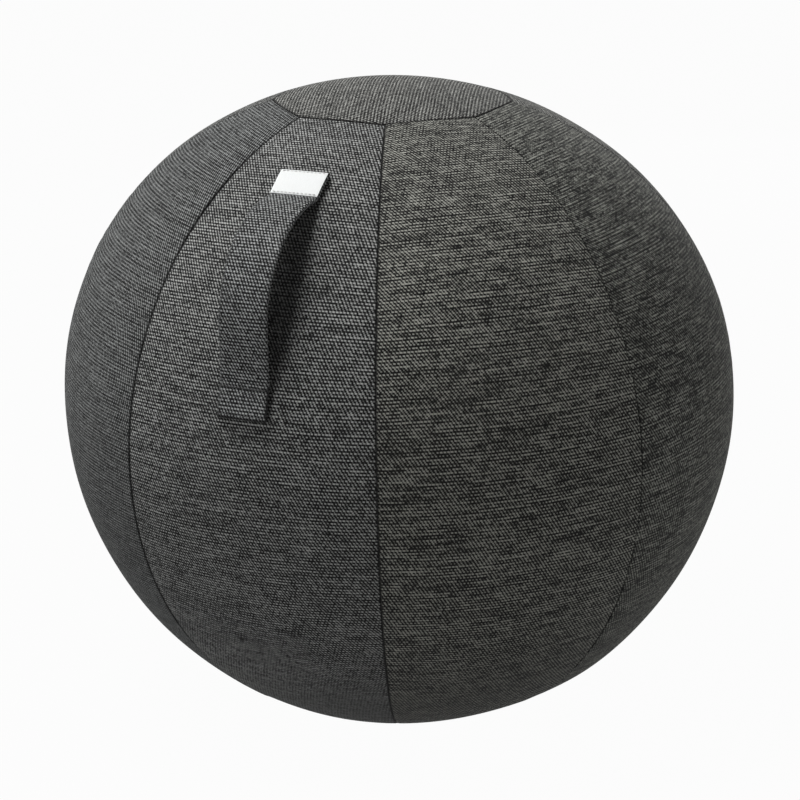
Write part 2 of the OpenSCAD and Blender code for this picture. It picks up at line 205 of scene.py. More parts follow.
class Dye:
    """One socket of a finish; sums and products of dyes add its Math nodes."""

    def __init__(self, tree, socket=None):
        self.tree, self.socket = tree, socket

    def node(self, kind, settings={}, values={}, out=0):
        made = self.tree.nodes.new("ShaderNode" + kind)
        for name, value in settings.items():
            setattr(made, name, value)
        for name, value in values.items():
            if isinstance(value, Dye):
                self.tree.links.new(value.socket, made.inputs[name])
            else:
                made.inputs[name].default_value = value
        return Dye(self.tree, made.outputs[out] if made.outputs else None)

    def maths(self, how, *terms):
        return self.node("Math", {"operation": how}, dict(enumerate(terms)))

    def __add__(self, other):
        return self.maths("ADD", self, other)

    def __sub__(self, other):
        return self.maths("SUBTRACT", self, other)

    def __rsub__(self, other):
        return self.maths("SUBTRACT", other, self)

    def __mul__(self, other):
        return self.maths("MULTIPLY", self, other)

    def __truediv__(self, other):
        return self.maths("DIVIDE", self, other)

    def __pow__(self, other):
        return self.maths("POWER", self, other)

    def __abs__(self):
        return self.maths("ABSOLUTE", self)

    __radd__, __rmul__ = __add__, __mul__

    def whole(self):
        return self.maths("ROUND", self)

    def wave(self, pitch=1.0):
        return self.maths("COSINE", self * (2 * math.pi / pitch))

    def step(self, low, high):
        values = {"Value": self, "From Min": low, "From Max": high}
        return self.node("MapRange", {"interpolation_type": "SMOOTHSTEP"}, values)

    def between(self, first, second):
        return self.node("Mix", {"data_type": "RGBA"}, {0: self, 6: first, 7: second}, 2)

    def cut(self):
        """The place on the flat cut: across, along and distance from the edge."""
        place = self.node("Attribute", {"attribute_name": "cut"}, {}, "Vector")
        outs = self.node("SeparateXYZ", {}, {0: place}).socket.node.outputs
        return [Dye(self.tree, outs[k]) for k in range(3)]

    def cloudy(self, x, y, z=0.0, detail=2.0):
        place = self.node("CombineXYZ", {}, {0: x, 1: y, 2: z})
        return self.node("TexNoise", {}, {"Vector": place, "Scale": 1.0, "Detail": detail})


def shade(code):
    """A colour from its six figures, as the shader counts it."""
    parts = [int(code[k:k + 2], 16) / 255 for k in (0, 2, 4)]
    return (*[p / 12.92 if p <= 0.04045 else ((p + 0.055) / 1.055) ** 2.4 for p in parts], 1)


def new_finish(name):
    """An empty material and the dye that its nodes start from."""
    material = bpy.data.materials.new(name)
    material.use_nodes = True
    material.node_tree.nodes.clear()
    return material, Dye(material.node_tree)


def surface(dye, height=None, depth=0.0003, **values):
    """Joins colour, roughness and relief to the surface and the surface to the finish."""
    values = {name.replace("_", " "): value for name, value in values.items()}
    if height is not None:
        relief = {"Height": height, "Distance": depth, "Strength": 1.0}
        values["Normal"] = dye.node("Bump", {}, relief)
    face = dye.node("BsdfPrincipled", {}, values)
    dye.node("OutputMaterial", {}, {"Surface": face})


row_pitch, float_pitch, row_set = 0.00308, 0.00313, 0.6
# Pale and dark yarn, then the colour of the painted shade in the seams' grooves; the next line
# gives where that painted shade starts and ends fading, and the puckers' pitch.
plain_light, plain_dark, seam_shade_dark = "b4b4af", "0f0f0f", "0a0a0a"
seam_shade_near, seam_shade_far, pucker_pitch = 0.0003, 0.0018, 0.0042


def hopsack(name, slub, even=1.0, light=plain_light, seed=0.0):
    """The cover cloth: slanted light floats in rows, each set on by 0.6 of a float, slubby, with
    painted seam shade.
    """
    material, dye = new_finish(name)
    across, along, edge = dye.cut()

    # The threads wander a little from their even rows.
    rows = along / row_pitch + (dye.cloudy(across * 18, along * 18, seed) - 0.5) * 0.6
    ends = across / float_pitch + (dye.cloudy(across * 18, along * 18, seed + 7.3) - 0.5) * 0.5
    row, float_, skip = rows.wave(), (ends + rows * row_set).wave(), (rows * 1.4 - ends).wave()

    # Thick and thin yarn, knots in it, light and dark threads the other way, and soft clouds.
    half_row = (rows * 2).whole() * 3.71
    yarn = dye.cloudy(across * 36, half_row, seed + 2.1, 1.0)
    knots = dye.cloudy(across * 320, half_row * 1.7, seed + 5.9, 1.0)
    warp = dye.cloudy((ends * 2).whole() * 2.93, along * 60, seed + 4.7, 1.0)
    clouds = dye.cloudy(across * 12, along * 20, seed + 11.0, 3.0)

    level = (1 + (yarn - 0.5) * (1.2 * slub) + (warp - 0.5) * (1.1 - 0.6 * slub)
             + (clouds - 0.5) * 0.3)
    floats = 0.18 + (row * (0.33 - 0.12 * slub) + float_ * 0.30 + skip * 0.13) * even
    loose = (knots - 0.5) * (0.9 + 0.6 * slub) + (yarn - 0.47) * (1.2 * slub)
    share = (floats * level + loose).step(0.0, 0.85)
    colour = share.between(shade(plain_dark), shade(light))
    # Painted shade: the colour darkens towards the edge, as shade falls in the seam's groove; the
    # same band carries the puckers' relief.
    seam_shade_and_pucker = 1 - edge.step(seam_shade_near, seam_shade_far)
    colour = (seam_shade_and_pucker * 0.85).between(colour, shade(seam_shade_dark))
    height = share * 0.8 + seam_shade_and_pucker * along.wave(pucker_pitch) * 0.35
    surface(dye, height, 0.0004, Base_Color=colour, Roughness=0.92, Sheen_Weight=0.02,
            Sheen_Roughness=0.45, Specular_IOR_Level=0.2)
    return material


# How slubby and how even each panel's cloth is; its pale yarn colour, partly a tone of its own and
# partly painted light and shade, as the eight panels are one cloth lit unevenly; and how many times
# narrower the painted seam shade is at its left and right seam, set after how the light falls on
# each seam.
gore_slub = {1: 0.40, 2: 0.72, 3: 0.74, 4: 0.6, 5: 0.45, 6: 0.5, 7: 0.45, 8: 0.5}
gore_even = {2: 1.1, 3: 0.7, 4: 0.8, 8: 1.5}
gore_tone_and_shade = {1: "b9bab8", 2: "b1b1a9", 3: "adaea6", 7: "a6a7a4", 8: "949695"}
gore_seam_shade = {1: (0.65, 1.0), 2: (1.0, 2.6), 3: (2.6, 1.0), 8: (1.0, 0.65)}
gore_insets = np.array([0, 0.00012, 0.00035, 0.0007, 0.0011, 0.0016, 0.003, 0.006, 0.010, 0.016])
gore_rows, gore_columns = 117, 25
row_bow, cloth_step = 1.1, 2.0
pucker_high, pucker_wide, swell_high = 0.00028, 0.007, 0.0004

for number in range(1, 9):
    turn = math.radians(45 * (number - 1))
    sign, share, inset = spaced(gore_insets, gore_columns)
    zip_sign = {5: 1, 6: -1}.get(number, 0)

    def edge_at(angle):
        """How far the panel reaches sideways; at the zip it stands back."""
        plain = seam_side(angle, seam_gap / 2)
        back = seam_side(angle, seam_gap / 2 + (zip_slot - seam_gap / 2) * beside_zip(angle))
        return np.where(sign == zip_sign, back, plain)

    def side_at(angle):
        return sign * (edge_at(angle) - inset) * share

    def search(low, high):
        return np.full(len(sign), math.radians(low)), np.full(len(sign), math.radians(high))

    low = where(lambda a: np.hypot(panel_out(a, side_at(a)), side_at(a))
                < base_seam_r + seam_gap / 2, *search(-78, -55))
    top = where(lambda a: np.hypot(panel_out(a, side_at(a)) + top_side_back, side_at(a))
                > top_side_r + seam_gap / 2, *search(60, 80))
    shares = np.linspace(0, 1, gore_rows)[1:-1]
    if zip_sign:
        near_ends = np.array([math.radians(end + step)
                              for end in zip_ends for step in np.linspace(-1, 1, 17)])
        shares = np.union1d(shares, (near_ends - low.mean()) / (top.mean() - low.mean()))
    tuck = gore_insets / mean_r
    angle = np.concatenate([
        [low + k for k in tuck],
        [low + tuck[-1] + s * (top - low - 2 * tuck[-1]) for s in shares],
        [top - k for k in tuck[::-1]]])
    side = np.array([side_at(row) for row in angle])
    reach = np.array([edge_at(row) for row in angle])
    from_ends = np.minimum((angle - low) * low_arc[1], (top - angle) * high_arc[1])
    from_edge = np.maximum(np.minimum(from_ends, reach - np.abs(side)), 0)
    along = arcs(angle)[1] * angle

    ripple = sum(np.sin(2 * math.pi * along / wave + number * 1.7 + np.sign(side) * wave * 900)
                 for wave in (0.013, 0.021, 0.037)) / 3
    pucker = pucker_high * (1 + ripple) * np.exp(-from_edge / pucker_wide) * (from_edge > 0)
    swell = np.sin(along * 31 + number * 2.3) * np.sin(side * 37 + number)
    sunk = folded(from_edge) + pucker + swell_high * swell
    back = np.maximum(sunk, 0) + cloth - np.minimum(sunk, fold_r) * 0.9
    # The painted seam shade is narrowed or widened at each side after how the light falls on that
    # seam.
    left, right = gore_seam_shade.get(number, (1.0, 1.0))
    narrower = np.where(side < 0, left, np.where(side > 0, right, 1.0))
    row_place = along - row_bow * angle * side ** 2 + cloth_step * number
    panel = shell(f"side_panel_{number}_cloth", on_panel(turn, angle, side, sunk),
                  on_panel(turn, angle, side, back),
                  np.stack([side, row_place, from_edge * narrower], -1))
    # The pale yarn colour holds painted light and shade for panels 1, 2, 3, 7 and 8.
    panel.data.materials.append(hopsack(
        f"cover_cloth_{number}", gore_slub[number], gore_even.get(number, 1.0),
        gore_tone_and_shade.get(number, plain_light), seed=number * 5.3))
    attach(panel, "ball")
    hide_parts(f"side_panel_{number}")


# Top panel: one eight-sided piece of the same cloth with slightly bulged sides, sewn to the
# upper ends of all eight side panels. Its rows run nearly from front to back.

crown_up = -0.0540
top_side_middle = (0.1095, 0.2938)
dome_r = math.hypot(top_side_middle[0], top_side_middle[1] - crown_up)
all_round = np.linspace(0, 2 * math.pi, 193)[:-1]
rows_turn = math.radians(20.6)


def octagon(around, grow=0.0):
    """Distance from the axis to the bulged side that lies in that direction."""
    off = np.mod(around + seam_half_turn, 2 * seam_half_turn) - seam_half_turn
    return (np.sqrt((top_side_r + grow) ** 2 - (top_side_back * np.sin(off)) ** 2)
            - top_side_back * np.cos(off))


def on_dome(around, rho, deep=0.0):
    """Points of the top panel; direction 0 is the front."""
    up = np.sqrt(dome_r ** 2 - rho ** 2) + crown_up
    lean = rho / dome_r
    rho, up = rho * (1 - deep / dome_r), up - deep * np.sqrt(1 - lean ** 2)
    return filled(np.stack([np.sin(around) * rho, -np.cos(around) * rho, ball_middle + up], -1))


rim = octagon(all_round, -seam_gap / 2)
steps = np.concatenate([[rim * s for s in np.linspace(0.01, 1, 34)[:-1] ** 0.8 * 0.86],
                        [rim - k for k in gore_insets[::-1]]])
around = np.broadcast_to(all_round, steps.shape)
from_edge = rim - steps
pucker = 0.00025 * (1 + np.sin(around * 57)) * np.exp(-from_edge / 0.006) * (from_edge > 0)
sunk = folded(from_edge) + pucker
x, y = np.sin(around) * steps, -np.cos(around) * steps
top_cut = np.stack([y * math.cos(rows_turn) - x * math.sin(rows_turn),
                    x * math.cos(rows_turn) + y * math.sin(rows_turn), from_edge], -1)
top_panel = shell("top_panel_cloth", on_dome(around, steps, sunk),
                  on_dome(around, steps, sunk + cloth - np.minimum(sunk, fold_r) * 0.9), top_cut,
                  wraps=True, start=True)
top_panel.data.materials.append(hopsack("cover_cloth_top", 0.3, seed=61.0))
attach(top_panel, "ball")
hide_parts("top_panel")


# Base panel: a round piece of plain dark canvas that the ball stands on, sewn to the lower
# ends of the side panels. It lies flat inside and rolls up to its seam.

edge_roll = 0.030
roll_lean = math.asin((ball_middle - edge_roll) / (low_arc[1] - edge_roll))
flat_r = low_arc[0] + (low_arc[1] - edge_roll) * math.cos(roll_lean)


def base_line(distance, lift=0.0):
    """Distance from the axis and height above the floor, along the base from its middle."""
    bend = edge_roll - lift
    arc_end = flat_r + bend * (math.pi / 2 - roll_lean)
    turn = np.clip((distance - flat_r) / bend, 0, math.pi / 2 - roll_lean)
    past = np.maximum(distance - arc_end, 0) / (low_arc[1] - lift)
    rho = np.minimum(distance, flat_r) + bend * np.sin(turn)
    up = edge_roll - bend * np.cos(turn)
    angle = -roll_lean + past
    rho = np.where(past > 0, low_arc[0] + (low_arc[1] - lift) * np.cos(angle), rho)
    up = np.where(past > 0, ball_middle + (low_arc[1] - lift) * np.sin(angle), up)
    return rho, up


def revolved(name, face, back, start=True, end=False, turns=144):
    """A closed ring or round piece from two outlines, each given as distances out and heights."""
    around = np.linspace(0, 2 * math.pi, turns + 1)[:-1]
    grids = [np.stack([np.outer(rho, np.sin(around)), -np.outer(rho, np.cos(around)),
                       np.repeat(up[:, None], turns, 1)], -1) for rho, up in (face, back)]
    rho, up = face
    run = np.concatenate([[0], np.cumsum(np.hypot(np.diff(rho), np.diff(up)))])
    cuts = np.stack([grids[0][..., 0], grids[0][..., 1],
                     np.repeat((run[-1] - run)[:, None], turns, 1)], -1)
    return shell(name, grids[0], grids[1], cuts, True, start, end)


def canvas(name, thread, gap, pitch=0.0011, rough=0.85):
    """A plain dense weave in one colour, for the base, linings and tapes."""
    material, dye = new_finish(name)
    across, along, edge = dye.cut()
    pick, end = (along / (2 * pitch)).wave(), (across / (2 * pitch)).wave()
    over = pick * end
    worn = dye.cloudy(across * 25, along * 25, edge * 25, 4.0)
    body = (abs(over) ** 0.5) * 0.8 + (worn - 0.5) * 0.5
    colour = body.step(0.0, 1.0).between(shade(gap), shade(thread))
    surface(dye, abs(over) ** 0.5 + over * 0.2, 0.00015, Base_Color=colour,
            Roughness=rough + (worn - 0.5) * 0.1, Sheen_Weight=0.1, Specular_IOR_Level=0.25)
    return material


seam_lean = math.acos((base_seam_r - seam_gap / 2 - low_arc[0]) / low_arc[1])
seam_at = flat_r + edge_roll * (math.pi / 2 - roll_lean) + (roll_lean - seam_lean) * low_arc[1]
run = np.concatenate([np.linspace(0.001, seam_at - 0.012, 34), seam_at - np.array(
    [0.010, 0.008, 0.006, 0.004, 0.0025, 0.0016, 0.0011, 0.0007, 0.00035, 0.00012, 0])])
sunk = folded(np.maximum(seam_at - run, 0))
face, back = base_line(run), base_line(run, cloth)
face = tuple(f + (b - f) * np.minimum(sunk / cloth, 0.95) for f, b in zip(face, back))
base_panel = revolved("base_panel_canvas", face, back)
base_panel.data.materials.append(canvas("base_canvas", "3a3a3b", "111112", 0.0012, 0.8))
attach(base_panel, "ball")
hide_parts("base_panel")


# Bindings: a grey woven tape folded flat over the turned-in edges inside the cover, one strip
# to each panel edge, and a ring of it at the top seam and at the base seam. The zip breaks
# the two strips beside it.

tape_outer, tape_inner, tape_reach = 0.0019, 0.0034, 0.012
tape_low, tape_high = -62.5, 67.5
break_low, break_high = -57.6, 13.2
strips = []
for number in range(8):
    turn = math.radians(45 * number)
    for way in (-1, 1):
        spans = [(tape_low, tape_high)]
        if (number, way) in ((4, 1), (5, -1)):
            spans = [(tape_low, break_low), (break_high, tape_high)]
        for first, last in spans:
            count = max(4, int((last - first) / 1.5))
            angle = np.radians(np.linspace(first, last, count))[:, None]
            width = np.linspace(seam_gap, tape_reach, 7)[None, :]
            side = way * (seam_side(angle, 0) - width / math.cos(seam_half_turn))
            angle = np.broadcast_to(angle, side.shape)
            strips.append(shell("strip", on_panel(turn, angle, side, tape_outer),
                                on_panel(turn, angle, side, tape_inner),
                                np.stack([side, angle * mean_r, side * 0], -1)))
work = bmesh.new()
for strip in strips:
    work.from_mesh(strip.data)
    bpy.data.objects.remove(strip)
seam_tape = bpy.data.objects.new("seam_binding_tape", bpy.data.meshes.new("seam_binding_tape"))
work.to_mesh(seam_tape.data)
work.free()
bpy.context.scene.collection.objects.link(seam_tape)

width = np.linspace(-tape_reach, tape_reach, 13)[:, None]
rho = octagon(all_round)[None, :] + width
around = np.broadcast_to(all_round, rho.shape)
top_tape = shell("top_binding_tape", on_dome(around, rho, tape_outer),
                 on_dome(around, rho, tape_inner),
                 np.stack([np.broadcast_to(width, rho.shape), around * 0.11, rho * 0], -1),
                 wraps=True)
run = np.linspace(seam_at - tape_reach, seam_at + tape_reach, 9)
base_tape = revolved("base_binding_tape", base_line(run, tape_outer), base_line(run, tape_inner),
                     start=False)
binding = canvas("binding_tape", "a3a3a0", "4a4a49", 0.0007)
for tape, node in ((seam_tape, "seam_bindings"), (top_tape, "top_binding"),
                   (base_tape, "base_binding")):
    tape.data.materials.append(binding)
    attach(tape, "ball")
    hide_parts(node)


# Handle: a flat tube of the cover cloth with a webbing strip in it. Both ends are sewn flat on
# the front panel, the lower one over a turned hem, and the strap bows out between them as a
# hand grip. Small patches inside the cover carry the stitches.

strap_w, strap_t, core_w, core_t = 0.048, 0.0054, 0.042, 0.0026
strap_x, seat_out, seat_r = 0.004, 0.017, 0.3110
loop_at, loop_r, loop_turn, rise_from = (0.213, 0.1456), 0.098, 91.2, 0.1045
leaves, lands, low_end, top_end = 19.03, 51.55, 13.03, 57.21
hem_run = math.radians(leaves - 0.9 - low_end) * seat_r


def seat(first, last, count):
    """Places out and up where the strap lies on the panel, between two angles."""
    angle = np.radians(np.linspace(first, last, count))
    return np.stack([seat_out + seat_r * np.cos(angle), seat_r * np.sin(angle)], -1)


def strap_line(first, last):
    """The strap's middle line on the panel: seated, straight up, round the loop, seated again."""
    loop = np.radians(np.linspace(0, loop_turn, 60))
    rise = np.linspace(rise_from, loop_at[1] - 0.003, 16)
    line = np.concatenate([
        seat(first, leaves - 0.2, 24),
        np.stack([np.full(16, loop_at[0] + loop_r), rise], -1),
        np.stack([loop_at[0] + loop_r * np.cos(loop), loop_at[1] + loop_r * np.sin(loop)], -1),
        seat(lands + 0.4, last, 16)])
    run = np.concatenate([[0], np.cumsum(np.linalg.norm(np.diff(line, axis=0), axis=1))])
    even = np.linspace(0, run[-1], 260)
    line = np.stack([np.interp(even, run, line[:, k]) for k in range(2)], -1)
    for _ in range(14):
        line[1:-1] = line[1:-1] / 2 + (line[:-2] + line[2:]) / 4
    return line, even


def tube(name, points, cut):
    """A closed tube through rings of points, capped at both ends."""
    rows, columns = points.shape[:2]
    index = np.arange(rows * columns).reshape(rows, columns)
    index = np.concatenate([index, index[:, :1]], 1)
    faces = squares(index).tolist() + [index[0, :-1].tolist(), index[-1, :-1].tolist()]
    return piece(name, points.reshape(-1, 3).tolist(), faces, cut.reshape(-1, 3))


def strip_along(name, line, even, section, sides, swell):
    """A closed strip along the line: section gives sideways and outward places round the strap."""
    ahead = np.gradient(line, axis=0)
    ahead /= np.linalg.norm(ahead, axis=1, keepdims=True)
    out = np.stack([ahead[:, 1], -ahead[:, 0]], -1)
    ring = line[:, None, :] + out[:, None, :] * (section[None, :, 1] * swell[:, None])[..., None]
    side = strap_x + section[None, :, 0] * sides[:, None]
    points = turned(0.0, ring[..., 0], np.broadcast_to(side, ring.shape[:2]), ring[..., 1])
    steps = np.linalg.norm(np.diff(section, axis=0), axis=1)
    round_it = np.broadcast_to(np.concatenate([[0], np.cumsum(steps)]), points.shape[:2])

    # Painted shade: the dark line runs along the hem's stitches, and as a painted shadow across the
    # lower end and up the hem's sides, where the strap lies on the panel.
    sewn = np.minimum(even * 0.6, np.abs(even - hem_run) + 0.0003)[:, None]
    rim = (np.where(even < hem_run + 0.004, 0.0002, 1.0)[:, None]
           + np.max(section[:, 0]) - np.abs(section[None, :, 0]))
    run = np.repeat(even[:, None], points.shape[1], 1)
    return tube(name, points, np.stack([round_it, run, np.minimum(sewn, rim)], -1))


def flat_section(width, thick, crown):
    """A flat band with round edges and a slightly full middle, as points round it."""
    corner = thick / 2 * 0.92
    half = width / 2 - corner
    across = np.linspace(-half, half, 21)
    rise = thick / 2 + crown * (1 - (across / half) ** 2) - crown
    bend = np.radians(np.linspace(90, -90, 9)[1:-1])
    right = np.stack([half + corner * np.cos(bend), (thick / 2 - crown) * np.sin(bend)], -1)
    upper = np.stack([across, rise], -1)
    return np.concatenate([upper, right, upper[::-1] * [1, -1], -right])


line, even = strap_line(low_end, top_end)
ends = np.minimum(even, even[-1] - even)
press = np.clip(ends / 0.0022, 0, 1)
swell = 0.55 + 0.45 * np.sqrt(1 - (1 - press) ** 2)
swell *= 1 - 0.10 * np.exp(-((even - 0.0322) / 0.0025) ** 2)
sides = 1 + 0.010 * np.sin(even * 41 + 0.6) + 0.006 * np.sin(even * 97)
strap = strip_along("handle_strap_cloth", line, even, flat_section(strap_w, strap_t, 0.0004),
                    sides, swell)
strap.data.materials.append(hopsack("strap_cloth", 0.28, light="b9bbbb", seed=77.0))
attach(strap, "ball")
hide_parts("handle_strap")

line, even = strap_line(low_end + 0.6, top_end - 0.4)
core = strip_along("handle_core_webbing", line, even, flat_section(core_w, core_t, 0.0001),
                   np.ones(len(even)), np.ones(len(even)))
core.data.materials.append(canvas("core_webbing", "2c2c2d", "0c0c0c", 0.0009))
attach(core, "ball")
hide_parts("handle_core")

patch_past = 0.003
lining = canvas("backing_cloth", "262627", "0a0a0a", 0.0008)
for node, first, last in (("upper_handle_backing", lands - 1, top_end + 0.4),
                          ("lower_handle_backing", low_end - 1, leaves + 1)):
    angle = np.radians(np.linspace(first, last, 14))[:, None]
    side = np.linspace(strap_x - strap_w / 2 - patch_past, strap_x + strap_w / 2 + patch_past, 21)
    angle, side = np.broadcast_arrays(angle, side[None, :])
    patch = shell(node + "_patch", on_panel(0.0, angle, side, tape_outer),
                  on_panel(0.0, angle, side, tape_inner),
                  np.stack([side, angle * high_arc[1], side * 0 + 0.01], -1))
    patch.data.materials.append(lining)
    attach(patch, "ball")
    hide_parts(node)


# Handle stitching: two rows of thick dark thread across the lower end, which hold the hem and
# the foot of the grip down. Each stitch dips into the cloth at both its ends.

thread_r, stitch_long, stitch_step, stitch_dip = 0.00035, 0.0026, 0.004, 0.00042
thread_lift, row_short = 0.00005, 0.004


def stitches(name, rows, width, colours, node):
    """Rows of stitches across the strap, each at an angle and a distance from the seat's centre."""
    points, faces, cuts = [], [], []
    for degrees, reach in rows:
        turn = math.radians(degrees)
        count = int((width - stitch_long) / stitch_step)
        for k in range(count + 1):
            middle = strap_x + (k - count / 2) * stitch_step
            start = len(points)
            for step in range(9):
                s = step / 4 - 1
                dip = stitch_dip * abs(s) ** 3
                thin = thread_r * math.sqrt(max(1 - (max(abs(s) - 0.72, 0) / 0.30) ** 2, 0.02))
                for corner in range(8):
                    spin = corner * math.pi / 4
                    away = reach - dip + thin * math.cos(spin)
                    nudge = thin * math.sin(spin)
                    place = turned(0.0, seat_out + away * math.cos(turn) - nudge * math.sin(turn),
                                   middle + s * stitch_long / 2,
                                   away * math.sin(turn) + nudge * math.cos(turn))
                    points.append(place.tolist())
                    cuts.append((s * stitch_long / 2, spin * thread_r, 0.01))
            for step in range(8):
                for corner in range(8):
                    a, b = start + step * 8 + corner, start + step * 8 + (corner + 1) % 8
                    faces.append((a, b, b + 8, a + 8))
            faces += [tuple(range(start, start + 8)), tuple(range(start + 64, start + 72))]
    made = piece(name, points, faces, cuts)
    material, dye = new_finish(name + "_thread")
    across, around_it, edge = dye.cut()
    twist = (across + around_it * 1.1).wave(0.0007)
    colour = twist.step(-1.0, 0.6).between(shade(colours[1]), shade(colours[0]))
    surface(dye, twist, 0.00006, Base_Color=colour, Roughness=0.6, Sheen_Weight=0.2)
    made.data.materials.append(material)
    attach(made, "ball")
    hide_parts(node)


strap_face = seat_r + strap_t / 2 + thread_r + thread_lift
stitches("handle_stitches", [(low_end + 0.7, strap_face), (leaves - 0.9, strap_face)],
         strap_w - row_short, ("3c3c3c", "141414"), "handle_stitching")


# Label: a white ribbon of dense satin, left bare, laid over the upper end of the strap and sewn
# down along its upper and lower edge with white thread.

label_w, label_h, label_t = 0.047, 0.028, 0.0007
label_in = seat_r + strap_t / 2 + 0.0002
label_top = top_end - 0.3
label_low = label_top - math.degrees(label_h / seat_r)
angle = np.radians(np.concatenate([
    [label_low, label_low + 0.05], np.linspace(label_low + 0.25, label_top - 0.25, 20),
    [label_top - 0.05, label_top]]))[:, None]
side = np.concatenate([[-1, -0.995], np.linspace(-0.97, 0.97, 30), [0.995, 1]]) * label_w / 2
angle, side = np.broadcast_arrays(angle, side[None, :])
middle = math.radians((label_low + label_top) / 2)
drape = 0.00035 * np.cos((angle - middle) / math.radians(label_top - label_low) * math.pi)
drape = drape * np.cos(side / label_w * math.pi * 0.9) - 0.0002 * (np.abs(side) / label_w * 2) ** 6


def on_label(deep):
    """Points of the label's face, or of its back a little under it."""
    reach = label_in + label_t + drape - deep
    return turned(0.0, seat_out + reach * np.cos(angle), strap_x + side, reach * np.sin(angle))


edge = np.minimum(label_w / 2 - np.abs(side), label_h / 2 - np.abs(angle - middle) * seat_r)
label = shell("label_ribbon", on_label(0.00025 * (edge < 0.0002)), on_label(label_t * 0.9),
              np.stack([side, angle * seat_r, edge], -1))
material, dye = new_finish("label_satin")
across, along, edge = dye.cut()
warp = (across / 0.00034).wave() * 0.5 + 0.5
float_step = (along / 0.0007 + across / 0.0023).wave()
fine = dye.cloudy(across * 900, along * 160, 3.0, 2.0)
selvedge = 1 - edge.step(0.0002, 0.0013)
body = warp * 0.5 + float_step * 0.25 + fine * 0.5 + selvedge * 0.3
white = body.step(0.0, 1.0).between(shade("e6e8e7"), shade("f6f8f7"))
surface(dye, body, 0.00008, Base_Color=white, Roughness=0.5 + (fine - 0.5) * 0.2, Sheen_Weight=0.1)
label.data.materials.append(material)
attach(label, "ball")
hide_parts("label_tab")

label_face = label_in + label_t + thread_r + thread_lift
stitches("label_stitches", [(label_top - 0.3, label_face), (label_low + 0.3, label_face)],
         label_w - row_short, ("f2f2f0", "b9b9b6"), "label_stitching")


# Zip: two woven tapes with a nylon coil sewn on each, set into the rear seam so that the cover
# comes off the bladder. A cast slider with a hanging pull runs on it between two metal stops.

zip_turn, zip_r = math.radians(202.5), 0.3197717
tape_span, coil_span = (-55.9, 11.9), (-55.2, 11.0)
tape_face, tape_back = 0.0019, 0.0025
for node, turn, way in (("zip_tape_left", math.pi, 1), ("zip_tape_right", math.radians(225), -1)):
    angle = np.radians(np.linspace(*tape_span, 160))[:, None]
    width = np.concatenate([[0.0033, 0.0035], np.linspace(0.0045, 0.0165, 9), [0.0169, 0.0170]])
    side = way * (seam_side(angle, 0) - width[None, :] / math.cos(seam_half_turn))
    angle, width = np.broadcast_arrays(angle, width[None, :])
    tape = shell(node + "_weave", on_panel(turn, angle, side, tape_face),
                 on_panel(turn, angle, side, tape_back),
                 np.stack([width, angle * 0.32, width * 0 + 0.01], -1))
    material, dye = new_finish(node + "_herringbone")
    across, along, edge = dye.cut()
    slant = (along + abs((across / 0.0032).wave()) * 0.0016).wave(0.0009)
    rows = slant * (across / 0.0005).wave()
    colour = rows.step(-1.0, 1.0).between(shade("0e0e0f"), shade("303032"))
    surface(dye, rows, 0.0001, Base_Color=colour, Roughness=0.75, Sheen_Weight=0.15)
    tape.data.materials.append(material)
    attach(tape, "ball")
    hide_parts(node)


def zip_place(degrees, side, out):
    """Points beside the zip's middle line: side is towards panel 6, out is away from the ball."""
    turn = np.radians(degrees)
    return turned(zip_turn, zip_out + (zip_r + out) * np.cos(turn), side,
                  (zip_r + out) * np.sin(turn))


coil_pitch, wire_r, wire_sides = 0.0014, 0.00026, 6
coil_side, coil_wide, coil_deep, coil_high = 0.0019, 0.00104, 0.0019, 0.00074
for node, way in (("zip_coil_left", -1), ("zip_coil_right", 1)):
    loops = math.radians(coil_span[1] - coil_span[0]) * zip_r / coil_pitch
    spin = np.linspace(0, 2 * math.pi * loops, int(loops * 14))
    degrees = coil_span[0] + (coil_span[1] - coil_span[0]) * spin / spin[-1]
    start = 0 if way > 0 else math.pi
    wire = zip_place(degrees, way * (coil_side - coil_wide * np.cos(spin + start)),
                     -coil_deep + coil_high * np.sin(spin + start) * way)
    ahead = np.gradient(wire, axis=0)
    ahead /= np.linalg.norm(ahead, axis=1, keepdims=True)
    spoke = wire - np.array([0, 0, ball_middle])
    spoke = np.cross(ahead, spoke / np.linalg.norm(spoke, axis=1, keepdims=True))
    spoke /= np.linalg.norm(spoke, axis=1, keepdims=True)
    other = np.cross(ahead, spoke)
    ring = np.linspace(0, 2 * math.pi, wire_sides + 1)[:-1]
    points = wire[:, None] + wire_r * (spoke[:, None] * np.cos(ring)[None, :, None]
                                       + other[:, None] * np.sin(ring)[None, :, None])
    run, round_it = np.broadcast_arrays(spin[:, None], ring[None, :])
    coil = tube(node + "_wire", points, np.stack([run, round_it, run * 0], -1))
    material, dye = new_finish(node + "_nylon")
    across, along, edge = dye.cut()
    rubbed = dye.cloudy(across * 0.7, along, 1.0, 3.0)
    surface(dye, rubbed, 0.00003, Base_Color=rubbed.between(shade("0d0d0e"), shade("2a2a2c")),
            Roughness=0.3 + rubbed * 0.2)
    coil.data.materials.append(material)
    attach(coil, "ball")
    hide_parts(node)

